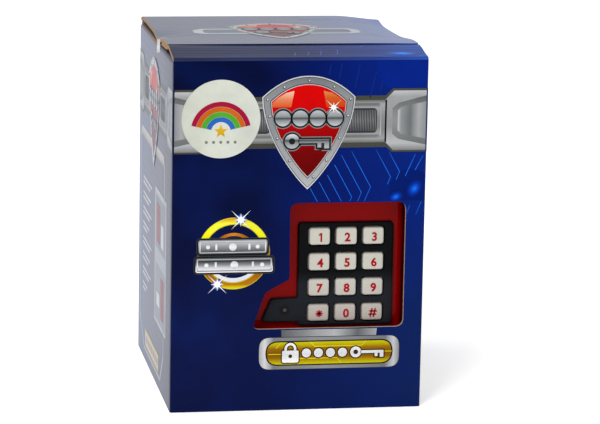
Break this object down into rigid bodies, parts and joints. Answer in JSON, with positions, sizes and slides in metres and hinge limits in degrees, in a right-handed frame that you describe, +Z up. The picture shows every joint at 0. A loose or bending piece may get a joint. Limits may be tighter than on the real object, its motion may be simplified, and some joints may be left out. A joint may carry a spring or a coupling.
{
  "type": "boxed toy safe coin bank",
  "caption": "Toy safe coin bank with keypad door, knob lock, coin slot and banknote feed, packed in a corrugated window carton with folding top flaps",
  "frame": {"origin": "On the ground under the middle of the carton", "axes": "+Z up, the front with the keypad window faces -Y, +X to the right of a person who faces the front"},
  "size_m": [0.15, 0.165, 0.2132],
  "materials": {
    "printed_board": "corrugated board printed dark blue, semi-gloss",
    "lid_board": "printed corrugated board, semi-gloss, washed pale by light",
    "plain_board": "unprinted brown corrugated board",
    "red_gloss": "gloss red plastic",
    "red_matte": "matte dark red plastic",
    "black_plastic": "black plastic, light gloss",
    "key_plastic": "warm light grey plastic",
    "grey_mat": "grey silicone rubber",
    "green_board": "green circuit board",
    "red_lens": "red translucent plastic",
    "steel": "plain steel",
    "silver_plastic": "silver plastic",
    "soft_rubber": "soft black rubber",
    "cell_wrap": "plain green cell wrap"
  },
  "bodies": {
    "safe": {"safe_shell": "red_gloss", "safe_base": "black_plastic", "foot_1": "soft_rubber", "foot_2": "soft_rubber", "foot_3": "soft_rubber", "foot_4": "soft_rubber", "coin_slot_bezel": "black_plastic", "note_slot_bezel": "black_plastic", "coin_chute": "black_plastic", "roller_frame": "black_plastic", "note_motor": "steel", "battery_tray": "black_plastic", "battery_1": "cell_wrap", "battery_2": "cell_wrap", "battery_3": "cell_wrap", "battery_cover": "red_matte", "battery_cover_screw": "steel", "carton_bottom_flap_front": "plain_board", "carton_bottom_flap_back": "plain_board", "carton_bottom_dust_flap_left": "plain_board", "carton_bottom_dust_flap_right": "plain_board"},
    "door": {"door_panel": "red_gloss", "door_liner": "red_matte", "door_screw_1": "steel", "door_screw_2": "steel", "hinge_pin_top": "steel", "hinge_pin_bottom": "steel", "keypad_bezel": "black_plastic", "keypad_mat": "grey_mat", "keypad_circuit_board": "green_board", "status_light": "red_lens"},
    "knob": {"door_knob": "silver_plastic", "knob_shaft": "steel"},
    "bolts": {"latch_bolts": "steel"},
    "drive_roller": {"note_drive_roller": "soft_rubber"},
    "pinch_roller": {"note_pinch_roller": "soft_rubber"},
    "carton": {"carton_front_panel": "printed_board", "carton_left_panel": "printed_board", "carton_right_panel": "printed_board", "carton_back_panel": "printed_board", "carton_glue_tab": "plain_board"},
    "lid": {"carton_lid": "lid_board"},
    "front_flap": {"carton_front_flap": "printed_board"},
    "dust_flap_left": {"carton_dust_flap_left": "plain_board"},
    "dust_flap_right": {"carton_dust_flap_right": "plain_board"},
    "key_1_body": {"key_1": "key_plastic"},
    "key_2_body": {"key_2": "key_plastic"},
    "key_3_body": {"key_3": "key_plastic"},
    "key_4_body": {"key_4": "key_plastic"},
    "key_5_body": {"key_5": "key_plastic"},
    "key_6_body": {"key_6": "key_plastic"},
    "key_7_body": {"key_7": "key_plastic"},
    "key_8_body": {"key_8": "key_plastic"},
    "key_9_body": {"key_9": "key_plastic"},
    "key_star_body": {"key_star": "key_plastic"},
    "key_0_body": {"key_0": "key_plastic"},
    "key_hash_body": {"key_hash": "key_plastic"}
  },
  "joints": [
    {"name": "carton_lift", "type": "slide", "parent": "safe", "child": "carton", "axis": [0, 0, 1], "range_m": [0, 0.235]},
    {"name": "lid_fold", "type": "hinge", "parent": "carton", "child": "lid", "pos_m": [0, 0.0828, 0.21105], "axis": [-1, 0, 0], "range_deg": [0, 185]},
    {"name": "front_flap_fold", "type": "hinge", "parent": "carton", "child": "front_flap", "pos_m": [0, -0.0828, 0.20875], "axis": [1, 0, 0], "range_deg": [0, 185]},
    {"name": "dust_flap_left_fold", "type": "hinge", "parent": "carton", "child": "dust_flap_left", "pos_m": [-0.0753, 0, 0.20645], "axis": [0, -1, 0], "range_deg": [0, 92.5]},
    {"name": "dust_flap_right_fold", "type": "hinge", "parent": "carton", "child": "dust_flap_right", "pos_m": [0.0753, 0, 0.20645], "axis": [0, 1, 0], "range_deg": [0, 92.5]},
    {"name": "door_hinge", "type": "hinge", "parent": "safe", "child": "door", "pos_m": [0.0611, -0.067, 0], "axis": [0, 0, 1], "range_deg": [0, 2]},
    {"name": "knob_turn", "type": "hinge", "parent": "door", "child": "knob", "pos_m": [-0.038, -0.071, 0.095], "axis": [0, -1, 0], "range_deg": [-90, 0]},
    {"name": "bolt_slide", "type": "slide", "parent": "door", "child": "bolts", "axis": [1, 0, 0], "range_m": [-0.004, 0]},
    {"name": "drive_roller_spin", "type": "hinge", "parent": "safe", "child": "drive_roller", "pos_m": [-0.01, -0.0364, 0.177], "axis": [1, 0, 0], "continuous": true},
    {"name": "pinch_roller_spin", "type": "hinge", "parent": "safe", "child": "pinch_roller", "pos_m": [-0.01, -0.0256, 0.177], "axis": [1, 0, 0], "continuous": true},
    {"name": "key_1_press", "type": "slide", "parent": "door", "child": "key_1_body", "axis": [0, 1, 0], "range_m": [0, 0.0012], "stiffness_N_per_m": 150},
    {"name": "key_2_press", "type": "slide", "parent": "door", "child": "key_2_body", "axis": [0, 1, 0], "range_m": [0, 0.0012], "stiffness_N_per_m": 150},
    {"name": "key_3_press", "type": "slide", "parent": "door", "child": "key_3_body", "axis": [0, 1, 0], "range_m": [0, 0.0012], "stiffness_N_per_m": 150},
    {"name": "key_4_press", "type": "slide", "parent": "door", "child": "key_4_body", "axis": [0, 1, 0], "range_m": [0, 0.0012], "stiffness_N_per_m": 150},
    {"name": "key_5_press", "type": "slide", "parent": "door", "child": "key_5_body", "axis": [0, 1, 0], "range_m": [0, 0.0012], "stiffness_N_per_m": 150},
    {"name": "key_6_press", "type": "slide", "parent": "door", "child": "key_6_body", "axis": [0, 1, 0], "range_m": [0, 0.0012], "stiffness_N_per_m": 150},
    {"name": "key_7_press", "type": "slide", "parent": "door", "child": "key_7_body", "axis": [0, 1, 0], "range_m": [0, 0.0012], "stiffness_N_per_m": 150},
    {"name": "key_8_press", "type": "slide", "parent": "door", "child": "key_8_body", "axis": [0, 1, 0], "range_m": [0, 0.0012], "stiffness_N_per_m": 150},
    {"name": "key_9_press", "type": "slide", "parent": "door", "child": "key_9_body", "axis": [0, 1, 0], "range_m": [0, 0.0012], "stiffness_N_per_m": 150},
    {"name": "key_star_press", "type": "slide", "parent": "door", "child": "key_star_body", "axis": [0, 1, 0], "range_m": [0, 0.0012], "stiffness_N_per_m": 150},
    {"name": "key_0_press", "type": "slide", "parent": "door", "child": "key_0_body", "axis": [0, 1, 0], "range_m": [0, 0.0012], "stiffness_N_per_m": 150},
    {"name": "key_hash_press", "type": "slide", "parent": "door", "child": "key_hash_body", "axis": [0, 1, 0], "range_m": [0, 0.0012], "stiffness_N_per_m": 150}
  ],
  "couplings": [
    {"joint": "front_flap_fold", "follows": "lid_fold", "ratio": 1},
    {"joint": "dust_flap_left_fold", "follows": "lid_fold", "ratio": 0.5},
    {"joint": "dust_flap_right_fold", "follows": "lid_fold", "ratio": 0.5},
    {"joint": "knob_turn", "follows": "bolt_slide", "rad_per_m": 392.69},
    {"joint": "pinch_roller_spin", "follows": "drive_roller_spin", "ratio": -1}
  ]
}
